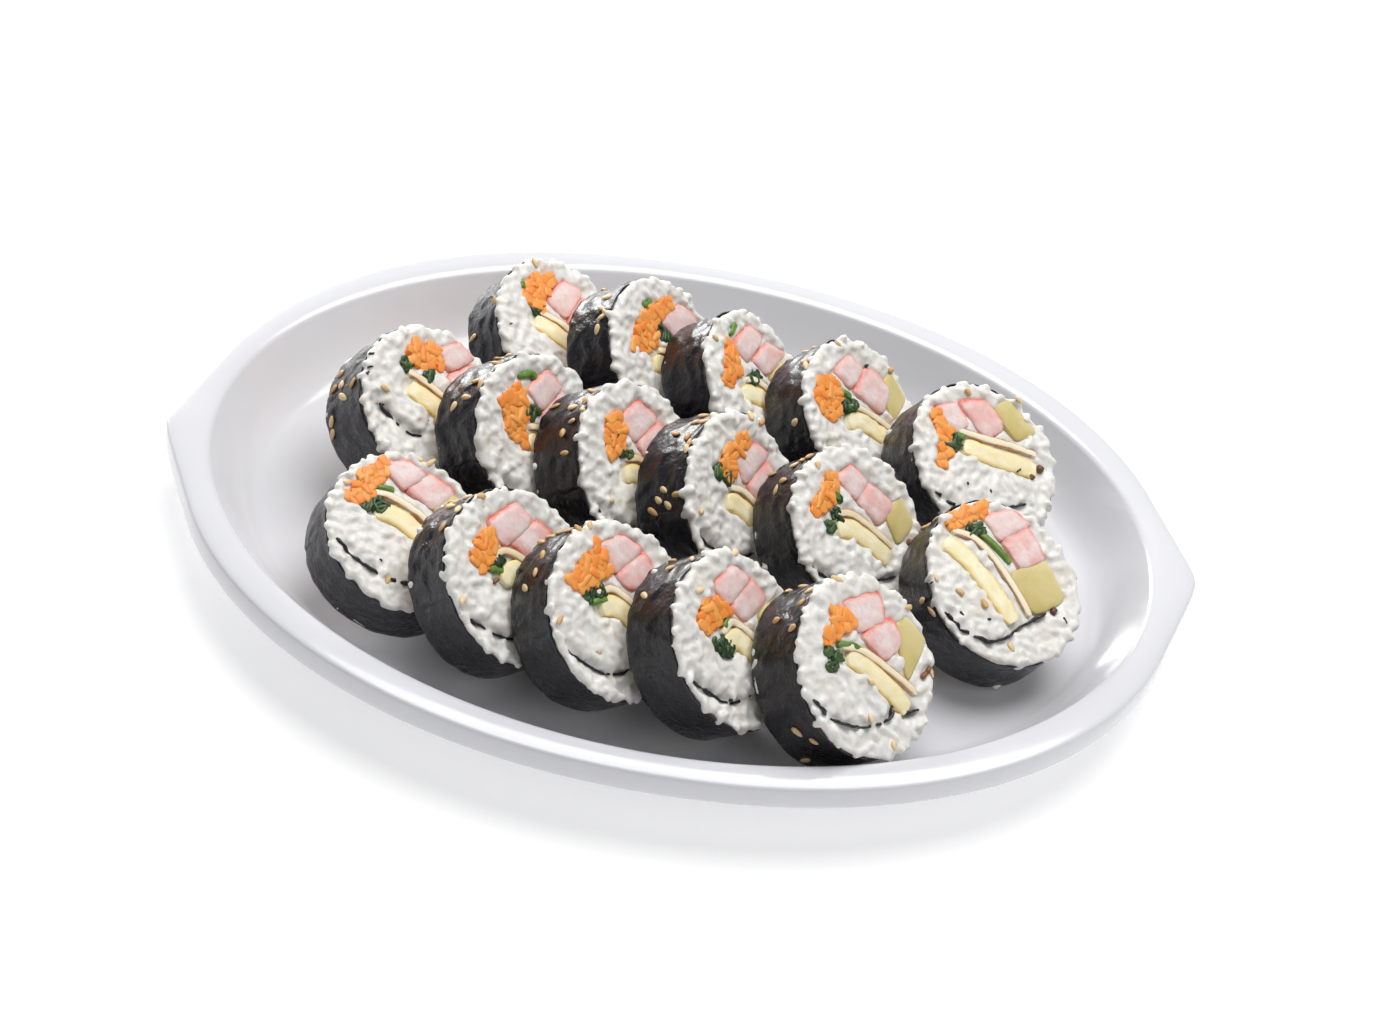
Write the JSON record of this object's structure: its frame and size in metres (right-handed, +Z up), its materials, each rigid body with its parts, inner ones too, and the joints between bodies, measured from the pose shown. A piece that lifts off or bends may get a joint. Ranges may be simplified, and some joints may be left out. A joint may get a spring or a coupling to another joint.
{
  "type": "platter of pork belly kimbap slices",
  "caption": "Slices of seaweed-wrapped rice roll with mixed fillings and sesame, shingled in three rows on a white oval platter with pointed ends.",
  "frame": {"origin": "under the middle of the platter's foot, on the surface that it stands on", "axes": "+X along the platter towards the end that the cut faces look to, +Y towards the back row, +Z up"},
  "size_m": [0.28, 0.221, 0.0575],
  "materials": {
    "porcelain": "smooth white glaze",
    "rice_roll": "moist cooked rice, stands for the whole slice",
    "seaweed": "dark wrinkled seaweed with a light oil sheen",
    "rice": "moist white rice grains",
    "carrot": "cooked carrot shreds",
    "pink_stick": "pink and white fibrous stick",
    "radish": "pale yellow pickled radish",
    "fish_cake": "cream strip with browned edges",
    "egg": "pale yellow egg slab",
    "greens": "wilted green leaves and stems",
    "burdock": "dark braised root and meat pieces",
    "sesame": "toasted sesame seeds"
  },
  "bodies": {
    "root": {"platter": "porcelain", "slice_front_1": "rice_roll", "slice_front_2": "rice_roll", "slice_front_3": "rice_roll", "slice_front_4": "rice_roll", "slice_front_5": "rice_roll", "slice_middle_1": "rice_roll", "slice_middle_2": "rice_roll", "slice_middle_3": "rice_roll", "slice_middle_4": "rice_roll", "slice_middle_5": "rice_roll", "slice_middle_6": "rice_roll", "slice_back_1": "rice_roll", "slice_back_2": "rice_roll", "slice_back_3": "rice_roll", "slice_back_4": "rice_roll", "slice_back_5": "rice_roll"}
  },
  "joints": []
}
